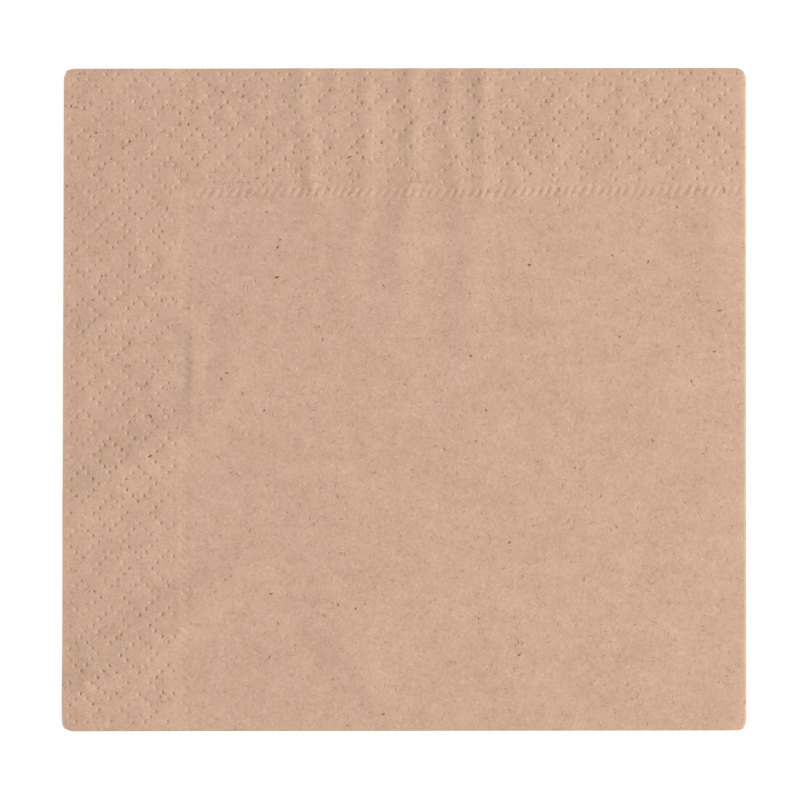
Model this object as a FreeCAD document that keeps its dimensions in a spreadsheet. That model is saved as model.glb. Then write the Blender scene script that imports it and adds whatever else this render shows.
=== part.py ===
"""A square paper napkin, folded twice, as one solid.

One tissue sheet is folded in half along the packet's lower edge, and again along its right edge. That
gives four leaves: an outer one with an inner one against it, and the same two below. The free edges lie
at the top and at the left, and a band pressed with rings of dots runs along both. A row of slanted dashes
closes it off from the plain middle.

X runs along the packet, Y up the packet and Z out of the table. The origin is the middle of the underside.
All sizes are in millimetres.
"""

import FreeCAD, Part
import math
import os

import Sketcher

V = FreeCAD.Vector
Constraint = Sketcher.Constraint

DIMENSIONS = {
    "folded_length": 165.0,  # half of a 330 mm sheet
    "folded_width": 160.0,  # half of a 320 mm sheet
    "corner_radius": 2.4,
    "leaf_thickness": 0.25,  # two plies pressed together
    "inner_gap": 0.15,  # air between an outer leaf and the inner leaf against it
    "middle_gap": 0.2,  # air between the two pairs of leaves
    "side_band": 30.5,  # left edge to the middle of the side row of dashes
    "top_band": 29.9,  # top edge to the middle of the top row of dashes
    "dot_pitch_across": 1.385,
    "dot_pitch_down": 1.36,
    "dot_width": 0.84,
    "dot_depth": 0.13,
    "first_ring_across": 4.5,  # left edge to the middle of the corner's ring
    "first_ring_down": 5.35,  # top edge to the middle of the same ring
    "edge_margin": 0.9,  # least plain paper between what is pressed and an edge or a fold
    "row_margin": 1.5,  # least plain paper between a dot and a row of dashes
    "top_dash_pitch": 2.08,
    "side_dash_pitch": 2.03,
    "dash_reach": 2.5,  # how far a dash reaches across its row
    "dash_lean": 1.5,  # how far it leans along the row in doing so
    "dash_width": 0.8,
    "dash_depth": 0.13,
}

# Dots sit on a grid. A ring is the grid points three steps away from its middle, counted along the grid,
# and rings lie ten steps apart both ways, with one more at the centre of each four.
RING_STEPS = 3
CELL_STEPS = 10

# Each cutter of the pressed pattern stands this share of its depth out of the paper, so that it cuts cleanly.
CUTTER_RISE = 0.5

doc = FreeCAD.newDocument("paper_napkin")

dims = doc.addObject("Spreadsheet::Sheet", "dims")
for row, (alias, size) in enumerate(DIMENSIONS.items(), start=1):
    dims.set(f"A{row}", alias)
    dims.set(f"B{row}", str(size))
    dims.setAlias(f"B{row}", alias)
doc.recompute()

# Heights in the stack of leaves, each as an expression on the sheet and as its present value
PAIR = "(2 * dims.leaf_thickness + dims.inner_gap)"
STACK = f"(2 * {PAIR} + dims.middle_gap)"
UPPER_PAIR_MIDDLE = f"({STACK} - {PAIR} / 2)"
SECOND_FOLD_AXIS = f"(dims.folded_length / 2 - {STACK} / 2)"

half_length = dims.folded_length / 2
half_width = dims.folded_width / 2
pair_height = 2 * dims.leaf_thickness + dims.inner_gap
stack_height = 2 * pair_height + dims.middle_gap

# A line's start and end, an arc's centre, and the axes and origin that the folded outline is drawn on.
START, END, CENTRE = 1, 2, 3
H_AXIS, V_AXIS = -1, -2
ORIGIN = (H_AXIS, START)


def attach(feature, body, role):
    """Lays a sketch or a datum plane on one of the body's own origin planes."""
    plane = next(f for f in body.Origin.OriginFeatures if f.Role == role)
    feature.AttachmentSupport = [(plane, "")]
    feature.MapMode = "FlatFace"


def new_sketch(body, name, role):
    sketch = body.newObject("Sketcher::SketchObject", name)
    attach(sketch, body, role)
    return sketch


def bind(sketch, kind, *points, size):
    """Adds a dimension to the sketch and ties it to an expression on the sheet."""
    present = sketch.evalExpression(size)
    index = sketch.addConstraint(Constraint(kind, *points, present))
    sketch.setExpression(f"Constraints[{index}]", size)


def draw_upper_pair(body):
    """The upper two leaves, cut across the first fold: a hairpin, open at the packet's top edge."""
    bend = pair_height / 2
    half_gap = dims.inner_gap / 2
    turn = bend - half_width
    middle = stack_height - bend
    sketch = new_sketch(body, "upper_pair", "YZ_Plane")
    sketch.setExpression("AttachmentOffset.Base.z", SECOND_FOLD_AXIS)

    def line(y1, z1, y2, z2, construction=False):
        return sketch.addGeometry(Part.LineSegment(V(y1, z1), V(y2, z2)), construction)

    def half_turn(radius):
        circle = Part.Circle(V(turn, middle), V(0, 0, 1), radius)
        return sketch.addGeometry(Part.ArcOfCircle(circle, math.pi / 2, 3 * math.pi / 2), False)

    top = line(half_width, middle + bend, turn, middle + bend)
    outer_turn = half_turn(bend)
    bottom = line(turn, middle - bend, half_width, middle - bend)
    lower_end = line(half_width, middle - bend, half_width, middle - half_gap)
    gap_bottom = line(half_width, middle - half_gap, turn, middle - half_gap)
    inner_turn = half_turn(half_gap)
    gap_top = line(turn, middle + half_gap, half_width, middle + half_gap)
    upper_end = line(half_width, middle + half_gap, half_width, middle + bend)
    fold_axis = line(-half_width, stack_height / 2, half_width, stack_height / 2, construction=True)

    sketch.addConstraint(
        [
            Constraint("Tangent", top, END, outer_turn, START),
            Constraint("Tangent", outer_turn, END, bottom, START),
            Constraint("Coincident", bottom, END, lower_end, START),
            Constraint("Coincident", lower_end, END, gap_bottom, START),
            Constraint("Tangent", gap_bottom, END, inner_turn, END),
            Constraint("Tangent", inner_turn, START, gap_top, START),
            Constraint("Coincident", gap_top, END, upper_end, START),
            Constraint("Coincident", upper_end, END, top, START),
            Constraint("Coincident", outer_turn, CENTRE, inner_turn, CENTRE),
            Constraint("Horizontal", top),
            Constraint("Horizontal", bottom),
            Constraint("Horizontal", gap_top),
            Constraint("Horizontal", gap_bottom),
            Constraint("Vertical", upper_end),
            Constraint("Vertical", lower_end),
            Constraint("Vertical", upper_end, START, lower_end, START),
            Constraint("Symmetric", fold_axis, START, fold_axis, END, V_AXIS),
        ]
    )
    bind(sketch, "Radius", inner_turn, size="dims.inner_gap / 2")
    bind(sketch, "Radius", outer_turn, size=f"{PAIR} / 2")
    bind(sketch, "DistanceX", outer_turn, CENTRE, *ORIGIN, size=f"dims.folded_width / 2 - {PAIR} / 2")
    bind(sketch, "DistanceY", *ORIGIN, outer_turn, CENTRE, size=UPPER_PAIR_MIDDLE)
    bind(sketch, "DistanceX", *ORIGIN, upper_end, START, size="dims.folded_width / 2")
    bind(sketch, "DistanceX", *ORIGIN, fold_axis, END, size="dims.folded_width / 2")
    bind(sketch, "DistanceY", *ORIGIN, fold_axis, END, size=f"{STACK} / 2")
    return sketch


def draw_corner(body):
    """What is trimmed off the packet's corner at the upper right: all that lies outside the rounding."""
    radius = dims.corner_radius
    x, y = half_length - radius, half_width - radius
    far_x, far_y = half_length + radius, half_width + radius
    sketch = new_sketch(body, "corner", "XY_Plane")
    circle = Part.Circle(V(x, y), V(0, 0, 1), radius)
    rounding = sketch.addGeometry(Part.ArcOfCircle(circle, 0, math.pi / 2), False)
    outline = [V(x, y + radius), V(x, far_y), V(far_x, far_y), V(far_x, y), V(x + radius, y)]
    up, along, down, back = (
        sketch.addGeometry(Part.LineSegment(a, b), False) for a, b in zip(outline, outline[1:])
    )
    sketch.addConstraint(
        [
            Constraint("Coincident", rounding, END, up, START),
            Constraint("Coincident", up, END, along, START),
            Constraint("Coincident", along, END, down, START),
            Constraint("Coincident", down, END, back, START),
            Constraint("Coincident", back, END, rounding, START),
            Constraint("Vertical", up),
            Constraint("Horizontal", along),
            Constraint("Vertical", down),
            Constraint("Horizontal", back),
            Constraint("Vertical", rounding, CENTRE, rounding, END),
            Constraint("Horizontal", rounding, CENTRE, rounding, START),
        ]
    )
    bind(sketch, "Radius", rounding, size="dims.corner_radius")
    bind(sketch, "DistanceX", *ORIGIN, rounding, CENTRE, size="dims.folded_length / 2 - dims.corner_radius")
    bind(sketch, "DistanceY", *ORIGIN, rounding, CENTRE, size="dims.folded_width / 2 - dims.corner_radius")
    bind(sketch, "DistanceX", *ORIGIN, along, END, size="dims.folded_length / 2 + dims.corner_radius")
    bind(sketch, "DistanceY", *ORIGIN, along, END, size="dims.folded_width / 2 + dims.corner_radius")
    return sketch


def fold_sheet():
    """The folded packet before it is pressed: upper leaves, second fold, lower leaves, rounded corners."""
    body = doc.addObject("PartDesign::Body", "folded_sheet")
    section = draw_upper_pair(body)
    corner = draw_corner(body)
    doc.recompute()

    upper = body.newObject("PartDesign::Pad", "upper_leaves")
    upper.Profile = section
    upper.Reversed = True
    upper.setExpression("Length", f"dims.folded_length / 2 + {SECOND_FOLD_AXIS}")
    doc.recompute()

    fold = body.newObject("PartDesign::Revolution", "second_fold")
    fold.Profile = section
    fold.ReferenceAxis = (section, ["Axis0"])
    fold.Angle = 180
    doc.recompute()

    mid_height = body.newObject("PartDesign::Plane", "mid_height")
    attach(mid_height, body, "XY_Plane")
    mid_height.setExpression("AttachmentOffset.Base.z", f"{STACK} / 2")
    doc.recompute()

    lower = body.newObject("PartDesign::Mirrored", "lower_leaves")
    lower.Originals = [upper]
    lower.MirrorPlane = (mid_height, [""])
    body.Tip = lower
    doc.recompute()

    trim = body.newObject("PartDesign::Pocket", "corner_trim")
    trim.Profile = corner
    trim.Type = "ThroughAll"
    trim.Reversed = True
    doc.recompute()

    corners = body.newObject("PartDesign::MultiTransform", "all_corners")
    corners.Originals = [trim]
    across = body.newObject("PartDesign::Mirrored", "corners_across")
    across.MirrorPlane = (corner, ["V_Axis"])
    down = body.newObject("PartDesign::Mirrored", "corners_down")
    down.MirrorPlane = (corner, ["H_Axis"])
    corners.Transformations = [across, down]
    body.Tip = corners
    doc.recompute()
    return body


def pit(x, y, depth, corners):
    """A cutter for a four-sided pit in the top leaf, its corners given at the paper's surface."""
    spread = 1 + CUTTER_RISE
    lid_height = stack_height + CUTTER_RISE * depth
    lid = [V(x + spread * dx, y + spread * dy, lid_height) for dx, dy in corners]
    bottom = V(x, y, stack_height - depth)
    faces = [Part.Face(Part.makePolygon([a, b, bottom, a])) for a, b in zip(lid, lid[1:] + lid[:1])]
    faces.append(Part.Face(Part.makePolygon(lid + lid[:1])))
    return Part.Solid(Part.Shell(faces))


def clear_of_corners(x, y, clear):
    """Whether a place keeps its distance from the rounded corners."""
    past_x = abs(x) - (half_length - dims.corner_radius)
    past_y = abs(y) - (half_width - dims.corner_radius)
    return past_x < 0 or past_y < 0 or math.hypot(past_x, past_y) < dims.corner_radius - clear


def dot_places():
    """Middles of all dots: the rings' dots that lie in a band, clear of every edge, fold, corner and dash."""
    clear = dims.dot_width / 2 + dims.edge_margin
    row_clear = dims.dash_reach / 2 + dims.row_margin + dims.dot_width / 2
    left = -half_length + clear
    right = half_length - stack_height / 2 - clear
    bottom = -half_width + pair_height / 2 + clear
    top = half_width - clear
    band_right = -half_length + dims.side_band - row_clear
    band_bottom = half_width - dims.top_band + row_clear

    steps = range(-RING_STEPS, RING_STEPS + 1)
    ring = [(i, j) for i in steps for j in steps if abs(i) + abs(j) == RING_STEPS]
    columns = math.ceil(dims.folded_length / (CELL_STEPS * dims.dot_pitch_across)) + 1
    rows = math.ceil(dims.folded_width / (CELL_STEPS * dims.dot_pitch_down)) + 1
    middles = [
        (CELL_STEPS * (column + shift), CELL_STEPS * (row + shift))
        for shift in (0, 0.5)
        for column in range(-1, columns)
        for row in range(-1, rows)
    ]
    for middle_step, middle_drop in middles:
        for i, j in ring:
            x = -half_length + dims.first_ring_across + (middle_step + i) * dims.dot_pitch_across
            y = half_width - dims.first_ring_down - (middle_drop + j) * dims.dot_pitch_down
            on_paper = left < x < right and bottom < y < top and clear_of_corners(x, y, clear)
            if on_paper and (x < band_right or y > band_bottom):
                yield x, y


def press_pattern():
    """Everything that is pressed into the top leaf, as one compound of cutters."""
    r = dims.dot_width / 2
    dot = [(r, 0), (0, r), (-r, 0), (0, -r)]
    cutters = [pit(x, y, dims.dot_depth, dot) for x, y in dot_places()]

    # A dash is a long slanted pit. The side row's dashes are the top row's, turned clockwise by a quarter.
    reach, lean = dims.dash_reach / 2, dims.dash_lean / 2
    stroke = math.hypot(reach, lean)
    wide, narrow = dims.dash_width / 2 * reach / stroke, dims.dash_width / 2 * lean / stroke
    top_dash = [(lean, reach), (-wide, narrow), (-lean, -reach), (wide, -narrow)]
    side_dash = [(y, -x) for x, y in top_dash]

    x = -half_length + dims.side_band
    y = half_width - dims.top_band
    last_x = half_length - stack_height / 2 - lean - dims.edge_margin
    last_y = -half_width + pair_height / 2 + lean + dims.edge_margin
    for k in range(math.floor((last_x - x) / dims.top_dash_pitch) + 1):
        cutters.append(pit(x + k * dims.top_dash_pitch, y, dims.dash_depth, top_dash))
    for k in range(1, math.floor((y - last_y) / dims.side_dash_pitch) + 1):
        cutters.append(pit(x, y - k * dims.side_dash_pitch, dims.dash_depth, side_dash))

    pattern = doc.addObject("Part::Feature", "pressed_pattern")
    pattern.Shape = Part.makeCompound(cutters)
    return pattern


folded_sheet = fold_sheet()
pressed_pattern = press_pattern()

napkin = doc.addObject("Part::Cut", "napkin_sheet")
napkin.Label = "napkin_sheet"
napkin.Base = folded_sheet
napkin.Tool = pressed_pattern
doc.recompute()

failed = [obj.Name for obj in doc.Objects if "Invalid" in obj.State or "Error" in obj.State]
if failed:
    raise RuntimeError(f"these objects failed: {failed}")
if napkin.Shape.isNull() or not napkin.Shape.isValid():
    raise RuntimeError("the napkin's shape is not valid")
if len(napkin.Shape.Solids) != 1:
    raise RuntimeError("the napkin is not one solid")

os.makedirs("parts", exist_ok=True)
napkin.Shape.exportStep(f"parts/{napkin.Label}.step")
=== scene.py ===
"""A natural-brown paper napkin, folded twice into a square packet, lying on a white table."""

import math

import bmesh
import bpy
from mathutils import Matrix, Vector, noise


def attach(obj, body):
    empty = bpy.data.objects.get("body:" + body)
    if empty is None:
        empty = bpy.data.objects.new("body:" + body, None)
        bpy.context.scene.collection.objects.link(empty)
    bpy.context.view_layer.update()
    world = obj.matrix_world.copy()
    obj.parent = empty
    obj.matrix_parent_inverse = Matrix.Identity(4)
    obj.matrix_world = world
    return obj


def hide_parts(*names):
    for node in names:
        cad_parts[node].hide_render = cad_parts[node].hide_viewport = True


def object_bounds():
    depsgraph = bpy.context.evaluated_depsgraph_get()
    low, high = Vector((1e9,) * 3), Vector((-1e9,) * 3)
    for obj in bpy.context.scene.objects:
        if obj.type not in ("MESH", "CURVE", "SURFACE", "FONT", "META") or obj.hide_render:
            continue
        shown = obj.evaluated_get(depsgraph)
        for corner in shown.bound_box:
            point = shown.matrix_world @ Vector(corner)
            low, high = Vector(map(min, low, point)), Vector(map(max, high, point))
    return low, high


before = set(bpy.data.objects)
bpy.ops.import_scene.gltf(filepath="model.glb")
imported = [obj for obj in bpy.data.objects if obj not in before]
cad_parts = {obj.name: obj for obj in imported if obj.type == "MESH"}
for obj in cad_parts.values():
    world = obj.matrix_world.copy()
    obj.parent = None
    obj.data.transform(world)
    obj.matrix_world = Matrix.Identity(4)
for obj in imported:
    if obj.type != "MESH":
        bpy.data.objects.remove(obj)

cad_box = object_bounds()
MM = 0.001

# The sheet is one two-ply tissue, 330 by 320 mm, folded in half along the packet's lower edge and again
# along its right edge. It starts as a flat grid, is wrapped round both folds and then gets its thickness.
# Places are measured across from the packet's left edge and down from its top edge, the free edges.
low, high = (Vector(corner) for corner in cad_box)
LENGTH = high.x - low.x
WIDTH = high.y - low.y
STACK = high.z - low.z
LEAF = 0.25 * MM
INNER_GAP = 0.15 * MM
PAIR = 2 * LEAF + INNER_GAP
CORNER = 2.4 * MM
FOLD_TURNS = 8

# The pressed dots lie on a grid. The sheet's own lines run half a step off it: one step apart near the
# edges and folds, and two steps apart elsewhere, until the bands are divided again.
PITCH_ACROSS = 1.385 * MM
PITCH_DOWN = 1.36 * MM
RING_ACROSS = 4.5 * MM
RING_DOWN = 5.35 * MM
NEAR_EDGE = 3 * MM
LEAST_CELL = 0.3 * MM


def leaf_lines(extent, first, pitch):
    """Grid lines across a leaf, from its free edge to the start of its fold."""
    lines = [0.0]
    line = (first + pitch / 2) % pitch
    if line > 2 * LEAST_CELL:
        lines.append(LEAST_CELL)
    while line < extent - LEAST_CELL:
        if line > LEAST_CELL:
            lines.append(line)
        between = NEAR_EDGE < line < extent - NEAR_EDGE - 2 * pitch
        line += 2 * pitch if between else pitch
    return lines + [extent]


def sheet_lines(lines):
    """The lines of both leaves and of the fold between them, each with how far round the fold it is."""
    around = [(lines[-1], math.pi * turn / FOLD_TURNS) for turn in range(1, FOLD_TURNS)]
    return [(line, 0.0) for line in lines] + around + [(line, math.pi) for line in reversed(lines)]


columns = sheet_lines(leaf_lines(LENGTH - STACK / 2, RING_ACROSS, PITCH_ACROSS))
rows = sheet_lines(leaf_lines(WIDTH - PAIR / 2, RING_DOWN, PITCH_DOWN))

sheet = bmesh.new()
bmesh.ops.create_grid(sheet, x_segments=len(columns) - 1, y_segments=len(rows) - 1, size=0.5)
for vert in sheet.verts:
    across, second_turn = columns[round((vert.co.x + 0.5) * (len(columns) - 1))]
    down, first_turn = rows[round((vert.co.y + 0.5) * (len(rows) - 1))]
    depth = PAIR / 2 * (1 - math.cos(first_turn))
    radius = STACK / 2 - depth
    vert.co = (
        low.x + across + radius * math.sin(second_turn),
        high.y - down - PAIR / 2 * math.sin(first_turn),
        low.z + STACK / 2 + radius * math.cos(second_turn),
    )
bmesh.ops.recalc_face_normals(sheet, faces=sheet.faces)
bmesh.ops.solidify(sheet, geom=sheet.faces[:], thickness=-LEAF)

# The bands along both free edges are pressed with rings of dots. A ring is the places three steps from its
# middle, and rings lie ten steps apart, with one more at the centre of each four. The pins leave round pits
# on top, never as deep as the leaf, and faint bumps underneath.
RING_STEPS = 3
CELL_STEPS = 10
SIDE_BAND = 30.5 * MM
TOP_BAND = 29.9 * MM
DASH_REACH = 2.5 * MM
ROW_MARGIN = 1.5 * MM
DOT_RADIUS = 0.5 * MM
DOT_FLOOR = 0.16 * MM
DOT_DEPTH = 0.24 * MM
SHALLOWEST = 0.35
DEEPEST = 0.83 * LEAF
PATCH_WEAR = 0.5
PATCH_LENGTH = 9
PIN_WEAR = 0.65
PIN_PACE = 1.7
DOT_STRAY = 0.3 * MM
STRAY_PACE = 1.3
NOISE_SEED = 1
BUMP_HEIGHT = 0.05 * MM
OCTAGON_CORNER = 0.59
OCTAGON_AREA = 3.31
SAME_PLACE = 0.1
SAME_AREA = 0.02
SAME_OCTAGON = 0.1
PLY_DROP = 0.08 * MM
RIM = 0.5 * MM
HAIR = 0.001 * MM


def place(point):
    """How far a point is across and down the packet."""
    return point.x - low.x, high.y - point.y


def on_ring(column, row):
    """Whether a place on the dots' grid lies on a ring."""
    half = CELL_STEPS // 2
    for shift in (0, half):
        across = (column + shift + half) % CELL_STEPS - half
        down = (row + shift + half) % CELL_STEPS - half
        if abs(across) + abs(down) == RING_STEPS:
            return True
    return False


def in_band(across, down, margin):
    return across < SIDE_BAND - margin or down < TOP_BAND - margin


def skin(top):
    """The faces of the packet's top or underside."""
    level = high.z if top else low.z
    return [face for face in sheet.faces if all(abs(vert.co.z - level) < HAIR for vert in face.verts)]


def divide(faces, longest, cuts):
    """Divides those edges of the faces that are longer than a length."""
    edges = {edge for face in faces for edge in face.edges if edge.calc_length() > longest}
    bmesh.ops.subdivide_edges(sheet, edges=list(edges), cuts=cuts, use_grid_fill=True)


def dot_cells(top):
    """The grid's cells that a pin of the pattern meets."""
    cells = []
    cell_area = PITCH_ACROSS * PITCH_DOWN
    for face in skin(top):
        across, down = place(face.calc_center_bounds())
        column = (across - RING_ACROSS) / PITCH_ACROSS
        row = (down - RING_DOWN) / PITCH_DOWN
        on_grid = max(abs(column - round(column)), abs(row - round(row))) < SAME_PLACE
        whole = abs(face.calc_area() / cell_area - 1) < SAME_AREA
        banded = in_band(across, down, DASH_REACH / 2 + ROW_MARGIN)
        if whole and on_grid and banded and on_ring(round(column), round(row)):
            cells.append(face)
    return cells


divide(skin(top=True), 1.5 * PITCH_ACROSS, 1)
banded_below = [face for face in skin(top=False) if in_band(*place(face.calc_center_median()), 0)]
divide(banded_below, 1.5 * PITCH_ACROSS, 1)

# On top each cell gets an octagon, which is then set in again to make the pit's wall and floor.
pits = dot_cells(top=True)
bmesh.ops.inset_individual(sheet, faces=pits, thickness=PITCH_DOWN / 2 - DOT_RADIUS, use_even_offset=True)
bmesh.ops.bevel(
    sheet,
    geom=list({vert for face in pits for vert in face.verts}),
    offset=OCTAGON_CORNER * DOT_RADIUS,
    affect="VERTICES",
    segments=1,
    profile=0.5,
    material=-1,
)
octagon_area = OCTAGON_AREA * DOT_RADIUS**2
round_pits = [
    face
    for face in skin(top=True)
    if len(face.verts) == 8 and abs(face.calc_area() / octagon_area - 1) < SAME_OCTAGON
]
bmesh.ops.inset_individual(sheet, faces=round_pits, thickness=DOT_RADIUS - DOT_FLOOR, use_even_offset=True)

# The pins press unevenly and a little off their places. Blender's vector noise would start from the clock,
# so it gets a seed, and each run gives the same napkin.
noise.seed_set(NOISE_SEED)
for face in round_pits:
    middle = face.calc_center_median() / MM
    pin = noise.noise(middle * PIN_PACE + Vector((31, 7, 2)))
    wear = PATCH_WEAR * noise.noise(middle / PATCH_LENGTH) + PIN_WEAR * pin
    stray = noise.noise_vector(middle * STRAY_PACE)
    for vert in face.verts:
        vert.co.x += DOT_STRAY * stray.x
        vert.co.y += DOT_STRAY * stray.y
        vert.co.z -= min(DOT_DEPTH * max(1 + wear, SHALLOWEST), DEEPEST)

bumps = dot_cells(top=False)
bump_inset = PITCH_DOWN / 2 - DOT_RADIUS / 2
bmesh.ops.inset_individual(sheet, faces=bumps, thickness=bump_inset, use_even_offset=True)
for vert in {vert for face in bumps for vert in face.verts}:
    vert.co.z -= BUMP_HEIGHT

# Under the bands the top leaf's lower ply is pushed down towards the next leaf, which leaves the pits room.
for vert in sheet.verts:
    across, down = place(vert.co)
    lower_ply = abs(vert.co.z - high.z + LEAF) < HAIR
    if lower_ply and in_band(across, down, -2 * PITCH_ACROSS) and min(across, down) > RIM:
        vert.co.z -= PLY_DROP

# A row of slanted dashes closes each band off and holds the plies together. Along the top band it lies in
# a shallow groove. The dashes fade in past the corner where the bands meet, and are worn in patches.
# Underneath they stand out a little, as the dots do.
TOP_DASH_PITCH = 2.08 * MM
SIDE_DASH_PITCH = 2.03 * MM
SIDE_ROW = 29.6 * MM
DASH_LENGTH = 2.1 * MM
DASH_SLANT = 0.6
DASH_HALF_WIDTH = 0.3 * MM
TOP_DASH_DEPTH = 0.22 * MM
SIDE_DASH_DEPTH = 0.12 * MM
DASH_BUMP = 0.4
GROOVE_HALF_WIDTH = 1.6 * MM
GROOVE_DEPTH = 0.04 * MM
GROOVE_START = -2 * MM
WEAR_LENGTH = 9 * MM
LEFT_BY_WEAR = 0.8
ROW_WEAR = 0.6
FADE_START = 2 * MM
FADE_END = 6 * MM
FAINTEST = 0.2
DASH_CELL = 0.5 * MM
DASH_CUTS = 3


def near_row(face):
    across, down = place(face.calc_center_median())
    on_top_row = abs(down - TOP_BAND) < GROOVE_HALF_WIDTH and across > SIDE_ROW - GROOVE_HALF_WIDTH
    on_side_row = abs(across - SIDE_ROW) < GROOVE_HALF_WIDTH and down > TOP_BAND - GROOVE_HALF_WIDTH
    return on_top_row or on_side_row


def bell(distance, half_width):
    return math.exp(-((distance / half_width) ** 2))


def step_up(value, start, end):
    """0 up to start, 1 from end on, and smooth between them."""
    share = min(max((value - start) / (end - start), 0), 1)
    return share * share * (3 - 2 * share)


def groove_press(along, aside):
    """Depth of the shallow groove that the row along the top band lies in."""
    worn = 0.5 + noise.noise(Vector((along / WEAR_LENGTH, 0, 0)))
    return GROOVE_DEPTH * bell(aside, GROOVE_HALF_WIDTH / 2) * worn * step_up(along, GROOVE_START, 0)


def row_press(along, aside, pitch, first, depth):
    """Depth of a row of dashes at a place along it and aside of it, towards a dash's far end."""
    if along < (first - 0.5) * pitch:
        return 0
    worn = LEFT_BY_WEAR + ROW_WEAR * noise.noise(Vector((along / WEAR_LENGTH, 5, pitch)))
    strength = depth * worn * (FAINTEST + (1 - FAINTEST) * step_up(along, FADE_START, FADE_END))
    slide = along - aside * DASH_SLANT
    off = (slide / pitch - round(slide / pitch)) * pitch / math.hypot(1, DASH_SLANT)
    ends = 1 - step_up(abs(aside), DASH_LENGTH / 2 - DASH_HALF_WIDTH, DASH_LENGTH / 2 + DASH_HALF_WIDTH)
    return strength * bell(off, DASH_HALF_WIDTH) * ends


def dash_press(across, down):
    groove = groove_press(across - SIDE_ROW, TOP_BAND - down)
    top_row = row_press(across - SIDE_ROW, TOP_BAND - down, TOP_DASH_PITCH, 0, TOP_DASH_DEPTH)
    side_row = row_press(down - TOP_BAND, across - SIDE_ROW, SIDE_DASH_PITCH, 1, SIDE_DASH_DEPTH)
    return groove + max(top_row, side_row)


for top, share in ((True, 1), (False, DASH_BUMP)):
    divide([face for face in skin(top) if near_row(face)], DASH_CELL, DASH_CUTS)
    level = high.z if top else low.z
    for vert in sheet.verts:
        if abs(vert.co.z - level) < HAIR:
            vert.co.z -= share * min(dash_press(*place(vert.co)), DEEPEST)

# A soft stack of tissue never lies flat. The pressed bands puff up and ripple against the plain middle,
# and the wrinkles run on into it. Each wrinkle is a line of places across and down the packet, each with
# its half width and height, in millimetres.
WRINKLES = [
    [
        (57.4, 0, 2.8, 0.4),
        (58.2, 14, 2.4, 0.26),
        (59.6, 22, 2.0, 0.3),
        (59.8, 28, 1.8, 0.42),
        (60.4, 34, 2.5, 0.1),
    ],
    [(65.2, 0, 1.7, 0.24), (64.9, 12, 1.7, 0.12)],
    [(73.2, 0, 1.9, 0.3), (73.4, 16, 1.9, 0.2), (73.0, 28, 2.0, 0.24), (72.4, 40, 3.0, 0.06)],
    [
        (84.0, 0, 2.2, 0.36),
        (84.2, 20, 2.4, 0.42),
        (82.6, 34, 2.6, 0.3),
        (81.0, 46, 3.8, 0.34),
        (81.0, 58, 4.4, 0.2),
        (81.0, 66, 5.0, 0.04),
    ],
    [
        (93.2, 0, 1.8, 0.32),
        (93.0, 12, 1.6, 0.2),
        (95.2, 26, 2.0, 0.36),
        (96.8, 44, 3.0, 0.16),
        (97, 66, 4.0, 0.08),
    ],
    [
        (101.2, 0, 2.0, 0.42),
        (101.2, 18, 2.0, 0.34),
        (101.8, 30, 2.2, 0.3),
        (99.6, 46, 3.0, 0.14),
        (96, 82, 4.5, 0.1),
    ],
    [(109, 14, 1.6, 0.1), (110, 30, 2.0, 0.16)],
    [(118, 0, 2.5, 0.1), (119.5, 22, 2.0, 0.1)],
    [(136, 2, 2.2, 0.1), (133, 24, 2.2, 0.12)],
    [(147, 6, 2.2, 0.12), (150, 27, 2.4, 0.12)],
    [(0, 108, 6.0, 0.55), (14, 98, 6.0, 0.75), (30, 88, 5.5, 0.55), (42, 76, 6.0, 0.1)],
    [(0, 152, 6.0, 0.75), (18, 141, 6.0, 0.75), (32, 131, 5.0, 0.5), (46, 122, 6.0, 0.06)],
    [(6, 140, 1.6, 0.1), (22, 131, 1.8, 0.22), (36, 122, 2.0, 0.16), (48, 119, 2.4, 0.05)],
    [(0, 70, 4.0, 0.2), (12, 60, 3.0, 0.2), (24, 50, 2.6, 0.16)],
    [(26, 58, 2.4, 0.1), (31, 64, 2.2, 0.34), (32, 76, 2.2, 0.3), (30, 84, 3.0, 0.1)],
    [(41, 60, 3.0, 0.1), (40, 76, 2.6, 0.16), (36, 86, 3.0, 0.05)],
    [(62, 130, 3.5, 0.08), (70, 143, 3.2, 0.24), (78, 156, 3.2, 0.2)],
    [(152, 26, 5.0, 0.16), (157, 40, 5.0, 0.24), (160, 60, 6.0, 0.1)],
]
PUFF = 0.12
BAND_EASE = 6
SWELL = 0.35
SWELL_LENGTH = 38
QUILT = 0.1
QUILT_LENGTH = 21
TOP_CRINKLE = 0.15
TOP_CRINKLE_WIDTH = 1.4
TOP_CRINKLE_LENGTH = 4.5
SIDE_CRINKLE = 0.14
SIDE_CRINKLE_WIDTH = 4.5
SIDE_CRINKLE_LENGTH = 4
CURL = 0.08
CURL_WIDTH = 1.0
CREASED = 0.92
CREASE_REACH = 7 * MM
CREEP = 0.5 * MM
CREEP_LENGTH = 17 * MM
CREEP_EASE = 8 * MM
JOSTLE = 0.45 * MM
JOSTLE_LENGTH = 4.5 * MM
ASKEW = 0.0024
LEAVES = 4
FAN = 0.6 * MM
FAN_REACH = 5 * MM
FAN_LENGTH_LEFT = 23 * MM
FAN_LENGTH_TOP = 27 * MM
HELD = 2 * MM
FREE = 20 * MM


def wrinkle_height(here, line):
    """Height of one wrinkle at a place: a bell across its line, dying away past its ends."""
    highest = 0.0
    for start, end in zip(line, line[1:]):
        first = Vector(start[:2])
        run = Vector(end[:2]) - first
        share = min(max((here - first).dot(run) / run.length_squared, 0), 1)
        aside = (here - first - share * run).length
        half_width = start[2] + share * (end[2] - start[2])
        if aside < 3 * half_width:
            highest = max(highest, (start[3] + share * (end[3] - start[3])) * bell(aside, half_width))
    return highest


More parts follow.
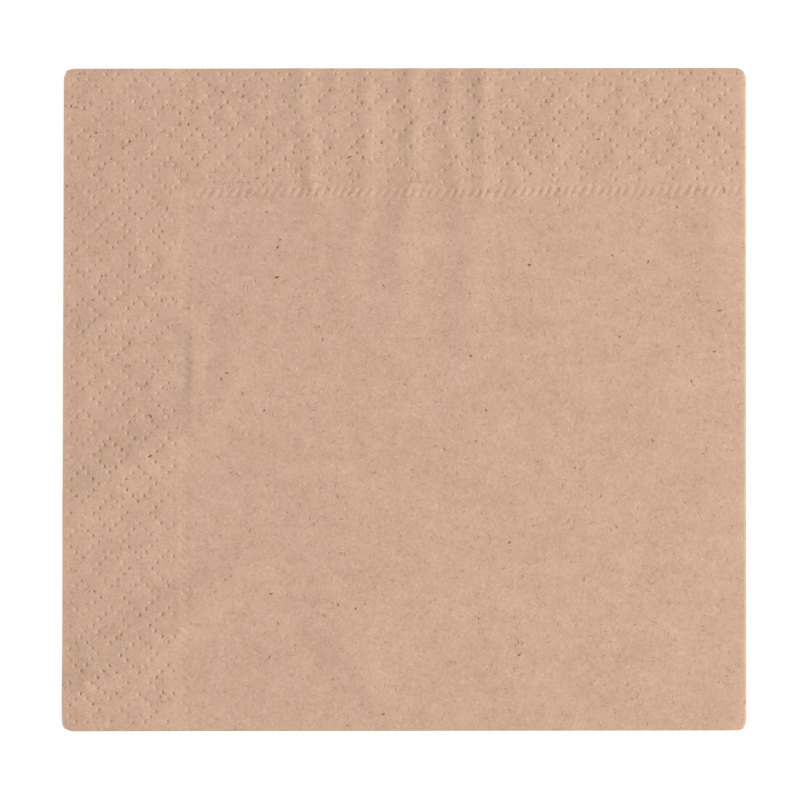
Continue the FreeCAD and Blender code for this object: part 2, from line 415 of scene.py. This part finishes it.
def quilt(across, down):
    """The soft cushions inside and between the rings, from 0 on a ring to 1."""
    column = (across - RING_ACROSS / MM) / (PITCH_ACROSS / MM)
    row = (down - RING_DOWN / MM) / (PITCH_DOWN / MM)
    half = CELL_STEPS / 2
    steps = min(
        abs((column + shift + half) % CELL_STEPS - half) + abs((row + shift + half) % CELL_STEPS - half)
        for shift in (0, half)
    )
    return step_up(abs(steps - RING_STEPS), 0, 2)


def relief(across, down):
    """How far the top of the packet is lifted at a place, in millimetres."""
    inside = min(SIDE_BAND / MM - across, across)
    below = min(TOP_BAND / MM - down, down)
    on_side = step_up(inside, 0, BAND_EASE)
    on_top = step_up(below, 0, BAND_EASE)
    here = Vector((across, down))
    lift = sum(wrinkle_height(here, line) for line in WRINKLES)
    lift += CURL * bell(min(across, down), CURL_WIDTH)
    swell = 0.5 + 0.5 * noise.noise(Vector((across / SWELL_LENGTH, down / SWELL_LENGTH, 4.2)))
    stuffed = 0.5 + noise.noise(Vector((across / QUILT_LENGTH, down / QUILT_LENGTH, 8.8)))
    puffed = (PUFF + QUILT * stuffed * quilt(across, down)) * max(on_side, on_top)
    on_top_grain = Vector((across / TOP_CRINKLE_WIDTH, down / TOP_CRINKLE_LENGTH, 1.1))
    on_side_grain = Vector((across / SIDE_CRINKLE_WIDTH, down / SIDE_CRINKLE_LENGTH, 2.2))
    top_crinkle = TOP_CRINKLE * on_top * noise.noise(on_top_grain)
    side_crinkle = SIDE_CRINKLE * on_side * noise.noise(on_side_grain)
    return lift + puffed + top_crinkle + side_crinkle + SWELL * swell


def crease(across, down):
    """How far the stack is pressed flat along its folds, from CREASED on a fold to 1."""
    to_fold = min(LENGTH - across, WIDTH - down)
    return CREASED + (1 - CREASED) * step_up(to_fold, 0, CREASE_REACH)


def wander(across, down):
    """How far the soft sheet has crept inside its outline, across and down."""
    to_edge = min(across, down, LENGTH - across, WIDTH - down)
    creep = CREEP * noise.noise_vector(Vector((across / CREEP_LENGTH, down / CREEP_LENGTH, 3.3)))
    jostle = JOSTLE * noise.noise_vector(Vector((across / JOSTLE_LENGTH, down / JOSTLE_LENGTH, 6.6)))
    return step_up(to_edge, 0, CREEP_EASE) * (creep + jostle)


def fan(across, down, leaf):
    """How far a lower leaf's free edges lie back inside the top leaf's, along x and along y."""
    if leaf == LEAVES - 1:
        return 0, 0
    seed = 9.0 * leaf
    aside = FAN * abs(noise.noise(Vector((down / FAN_LENGTH_LEFT, seed, 1.7))))
    upward = -FAN * abs(noise.noise(Vector((across / FAN_LENGTH_TOP, seed, 6.1))))
    aside *= max(1 - across / FAN_REACH, 0) ** 2 * step_up(WIDTH - down, HELD, FREE)
    upward *= max(1 - down / FAN_REACH, 0) ** 2 * step_up(LENGTH - across, HELD, FREE)
    return aside, upward


for vert in sheet.verts:
    across, down = place(vert.co)
    level = (vert.co.z - low.z) / STACK
    aside, upward = fan(across, down, min(int(level * LEAVES), LEAVES - 1))
    creep = wander(across, down) * level
    vert.co.z += relief(across / MM, down / MM) * MM * level
    vert.co.z = low.z + (vert.co.z - low.z) * crease(across, down)
    vert.co.x += aside + creep.x + ASKEW * vert.co.y
    vert.co.y += upward + creep.y

# The packet's corners are rounded: a square corner is drawn in to a quarter circle.
for vert in sheet.verts:
    centre = Vector(
        (
            math.copysign(LENGTH / 2 - CORNER, vert.co.x),
            math.copysign(WIDTH / 2 - CORNER, vert.co.y),
        )
    )
    past = Vector((abs(vert.co.x) - abs(centre.x), abs(vert.co.y) - abs(centre.y)))
    if past.x > 0 and past.y > 0:
        past *= max(past) / past.length
        vert.co.x = centre.x + math.copysign(past.x, centre.x)
        vert.co.y = centre.y + math.copysign(past.y, centre.y)

SHARP = math.radians(60)
lowest = min(vert.co.z for vert in sheet.verts)
bmesh.ops.translate(sheet, verts=sheet.verts[:], vec=(0, 0, low.z - lowest))
bmesh.ops.recalc_face_normals(sheet, faces=sheet.faces)
for face in sheet.faces:
    face.smooth = True

napkin_mesh = bpy.data.meshes.new("napkin")
sheet.to_mesh(napkin_mesh)
sheet.free()
napkin_mesh.set_sharp_from_angle(angle=SHARP)
napkin = bpy.data.objects.new("napkin", napkin_mesh)
bpy.context.collection.objects.link(napkin)


# The tissue is unbleached pulp, dry and matt. Its brown runs in soft specks and clouds, short dark and pale
# fibres lie on it and stand up a little as felt, and a few dark shives are left in it.
class Flow:
    """A socket of a shader, so that maths on it reads as an expression."""

    def __init__(self, socket):
        self.socket = socket
        self.tree = socket.id_data

    def node(self, kind, settings, inputs):
        return shader_node(self.tree, kind, settings, inputs)

    def maths(self, operation, first, second):
        return Flow(self.node("ShaderNodeMath", {"operation": operation}, {0: first, 1: second}).outputs[0])

    def __add__(self, other):
        return self.maths("ADD", self, other)

    def __radd__(self, other):
        return self.maths("ADD", other, self)

    def __sub__(self, other):
        return self.maths("SUBTRACT", self, other)

    def __rsub__(self, other):
        return self.maths("SUBTRACT", other, self)

    def __mul__(self, other):
        return self.maths("MULTIPLY", self, other)

    def __rmul__(self, other):
        return self.maths("MULTIPLY", other, self)

    def __lt__(self, other):
        return self.maths("LESS_THAN", self, other)

    def ramp(self, start, end):
        """0 up to start, 1 from end on, and smooth between them."""
        inputs = {"Value": self, "From Min": start, "From Max": end, "To Min": 0.0, "To Max": 1.0}
        settings = {"interpolation_type": "SMOOTHSTEP", "clamp": True}
        return Flow(self.node("ShaderNodeMapRange", settings, inputs).outputs["Result"])


def shader_node(tree, kind, settings, inputs):
    """Any node: its settings first, then the values or links of its sockets."""
    made = tree.nodes.new(kind)
    for name, value in settings.items():
        setattr(made, name, value)
    for name, value in inputs.items():
        if isinstance(value, Flow):
            tree.links.new(value.socket, made.inputs[name])
        else:
            made.inputs[name].default_value = value
    return made


tissue = bpy.data.materials.new("brown_tissue")
tissue.use_nodes = True
tree = tissue.node_tree
paper = tree.nodes["Principled BSDF"]
on_sheet = Flow(shader_node(tree, "ShaderNodeTexCoord", {}, {}).outputs["Object"])


def laid(turn, length, seed, places):
    """Places on the sheet, turned, with whatever is drawn there made longer that way."""
    settings = {"vector_type": "TEXTURE"}
    inputs = {
        "Vector": places,
        "Location": (seed, seed, seed),
        "Rotation": (0, 0, turn),
        "Scale": (length, 1, 1),
    }
    return Flow(shader_node(tree, "ShaderNodeMapping", settings, inputs).outputs["Vector"])


def clouds(size, detail, seed):
    """Soft noise whose blots are about that size, centred on 0.5."""
    inputs = {"Vector": laid(0, 1, seed, on_sheet), "Scale": 1 / size, "Detail": detail, "Roughness": 0.6}
    return Flow(shader_node(tree, "ShaderNodeTexNoise", {}, inputs).outputs["Fac"])


def slivers(spacing, share, length, half_width, turn, seed):
    """Short bent slivers, strong or faint: one to a cell of that spacing, in a share of the cells."""
    settings = {"feature": "F1", "voronoi_dimensions": "2D"}
    inputs = {"Vector": laid(turn, length, seed, bent), "Scale": 1 / spacing, "Randomness": 1.0}
    cells = shader_node(tree, "ShaderNodeTexVoronoi", settings, inputs).outputs
    chances = shader_node(tree, "ShaderNodeSeparateColor", {}, {"Color": Flow(cells["Color"])}).outputs
    reach = half_width / spacing
    faded = Flow(cells["Distance"]).ramp(0.3 * reach, 1.3 * reach)
    shown = (1 - faded) * (Flow(chances["Red"]) < share)
    return shown * (FAINT + (1 - FAINT) * Flow(chances["Green"]))


FAINT = 0.35
BEND = 1.0 * MM
BEND_LENGTH = 2.2 * MM
swirl = shader_node(
    tree,
    "ShaderNodeTexNoise",
    {},
    {"Vector": on_sheet, "Scale": 1 / BEND_LENGTH, "Detail": 0.0},
)
bent = Flow(
    shader_node(
        tree,
        "ShaderNodeVectorMath",
        {"operation": "MULTIPLY_ADD"},
        {0: Flow(swirl.outputs["Color"]), 1: (BEND, BEND, 0), 2: on_sheet},
    ).outputs["Vector"]
)
specks = clouds(0.4 * MM, 1.0, 0.3)
grain = clouds(1.0 * MM, 2.0, 0.5)
mottle = clouds(3.5 * MM, 2.0, 0.1)
drift = clouds(14 * MM, 2.0, 0.7)
FIBRE = {"spacing": 1.5 * MM, "share": 0.5, "length": 5, "half_width": 0.12 * MM}
SHIVE = {"spacing": 9 * MM, "share": 0.25, "length": 2.2, "half_width": 0.24 * MM}
dark_fibres = sum(slivers(**FIBRE, turn=turn, seed=0.3 * turn) for turn in (0.4, 1.4, 2.4))
pale_fibres = sum(slivers(**FIBRE, turn=turn, seed=0.9 * turn) for turn in (0.9, 1.9, 2.9))
shives = sum(slivers(**SHIVE, turn=turn, seed=0.4 * turn) for turn in (0.2, 1.3, 2.1))
tone = (
    0.33 * (specks - 0.5)
    + 0.35 * (grain - 0.5)
    + 0.24 * (mottle - 0.5)
    + 0.18 * (drift - 0.5)
    + 0.3 * (pale_fibres - dark_fibres)
)
PAPER_COLOUR = (0.604, 0.397, 0.283)
TONE_COLOUR = (0.507, 0.397, 0.326)
SHIVE_COLOUR = (0.2, 0.1, 0.055, 1)
plain = shader_node(
    tree,
    "ShaderNodeVectorMath",
    {"operation": "MULTIPLY_ADD"},
    {0: tone, 1: TONE_COLOUR, 2: PAPER_COLOUR},
)
flecked = shader_node(
    tree,
    "ShaderNodeMix",
    {"data_type": "RGBA", "clamp_factor": True},
    {0: shives, 6: Flow(plain.outputs["Vector"]), 7: SHIVE_COLOUR},
)
tree.links.new(flecked.outputs[2], paper.inputs["Base Color"])
FELT_HEIGHT = 0.03 * MM
felt = shader_node(
    tree,
    "ShaderNodeBump",
    {},
    {"Strength": 1.0, "Distance": FELT_HEIGHT, "Height": grain + 1.5 * (pale_fibres - dark_fibres)},
)
tree.links.new(felt.outputs["Normal"], paper.inputs["Normal"])
MATT = 0.95
SHEEN = 0.15
paper.inputs["Roughness"].default_value = MATT
paper.inputs["Specular IOR Level"].default_value = SHEEN
napkin_mesh.materials.append(tissue)

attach(napkin, "root")
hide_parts("napkin_sheet")

# The table is a wide, pale, matt top. It shows white to the camera and keeps the napkin's soft shadow.
TABLE_HALF = 1.5
TABLE_WHITE = (0.45, 0.45, 0.45, 1)
TABLE_GLOW = 0.82
TABLE_MATT = 0.9

table_mesh = bpy.data.meshes.new("table")
top = bmesh.new()
bmesh.ops.create_grid(top, x_segments=1, y_segments=1, size=TABLE_HALF)
top.to_mesh(table_mesh)
top.free()
table = bpy.data.objects.new("table", table_mesh)
bpy.context.collection.objects.link(table)
white = bpy.data.materials.new("white_table")
white.use_nodes = True
tree = white.node_tree
surface = tree.nodes["Principled BSDF"]
surface.inputs["Base Color"].default_value = TABLE_WHITE
surface.inputs["Roughness"].default_value = TABLE_MATT
surface.inputs["Emission Color"].default_value = (1, 1, 1, 1)
rays = shader_node(tree, "ShaderNodeLightPath", {}, {}).outputs
seen = Flow(rays["Is Camera Ray"]) + Flow(rays["Is Glossy Ray"]) + Flow(rays["Is Transmission Ray"])
tree.links.new((seen * TABLE_GLOW).socket, surface.inputs["Emission Strength"])
table_mesh.materials.append(white)

# The light is an even white sky and one broad lamp low on the right, which shows the pressed pattern.
SKY = 0.46
LAMP_PLACE = Vector((2.15, -0.3, 1.5))
LAMP_SIZE = 0.7
LAMP_POWER = 66.0

world = bpy.data.worlds.new("sky")
world.use_nodes = True
tree = world.node_tree
rays = shader_node(tree, "ShaderNodeLightPath", {}, {}).outputs
seen = Flow(rays["Is Camera Ray"]) + Flow(rays["Is Glossy Ray"]) + Flow(rays["Is Transmission Ray"])
tree.nodes["Background"].inputs["Color"].default_value = (1, 1, 1, 1)
tree.links.new((SKY + (1 - SKY) * seen).socket, tree.nodes["Background"].inputs["Strength"])
bpy.context.scene.world = world

lamp_data = bpy.data.lights.new("lamp", "AREA")
lamp_data.shape = "SQUARE"
lamp_data.size = LAMP_SIZE
lamp_data.energy = LAMP_POWER
lamp = bpy.data.objects.new("lamp", lamp_data)
lamp.location = LAMP_PLACE
lamp.rotation_euler = LAMP_PLACE.to_track_quat("Z", "Y").to_euler()
bpy.context.collection.objects.link(lamp)

# The camera looks straight down on the packet, from a little towards its lower edge.
CAMERA_DISTANCE = 0.7
CAMERA_TILT = math.radians(1.0)
CAMERA_ROLL = math.radians(-0.08)
SENSOR = 36.0
FRAME_PX = 800
PACKET_PX = 683.4
PACKET_MIDDLE_PX = Vector((404.9, 399.1))

camera_data = bpy.data.cameras.new("camera")
camera_data.sensor_width = SENSOR
frame_width = LENGTH * FRAME_PX / PACKET_PX
camera_data.lens = SENSOR * CAMERA_DISTANCE / frame_width
camera_data.shift_x = (FRAME_PX / 2 - PACKET_MIDDLE_PX.x) / FRAME_PX
camera_data.shift_y = (PACKET_MIDDLE_PX.y - FRAME_PX / 2) / FRAME_PX
camera = bpy.data.objects.new("camera", camera_data)
aim = Vector((0, 0, high.z))
camera.location = aim + CAMERA_DISTANCE * Vector((0, -math.sin(CAMERA_TILT), math.cos(CAMERA_TILT)))
camera.rotation_euler = (CAMERA_TILT, 0, CAMERA_ROLL)
bpy.context.collection.objects.link(camera)
bpy.context.scene.camera = camera
bpy.context.scene.view_settings.view_transform = "Standard"
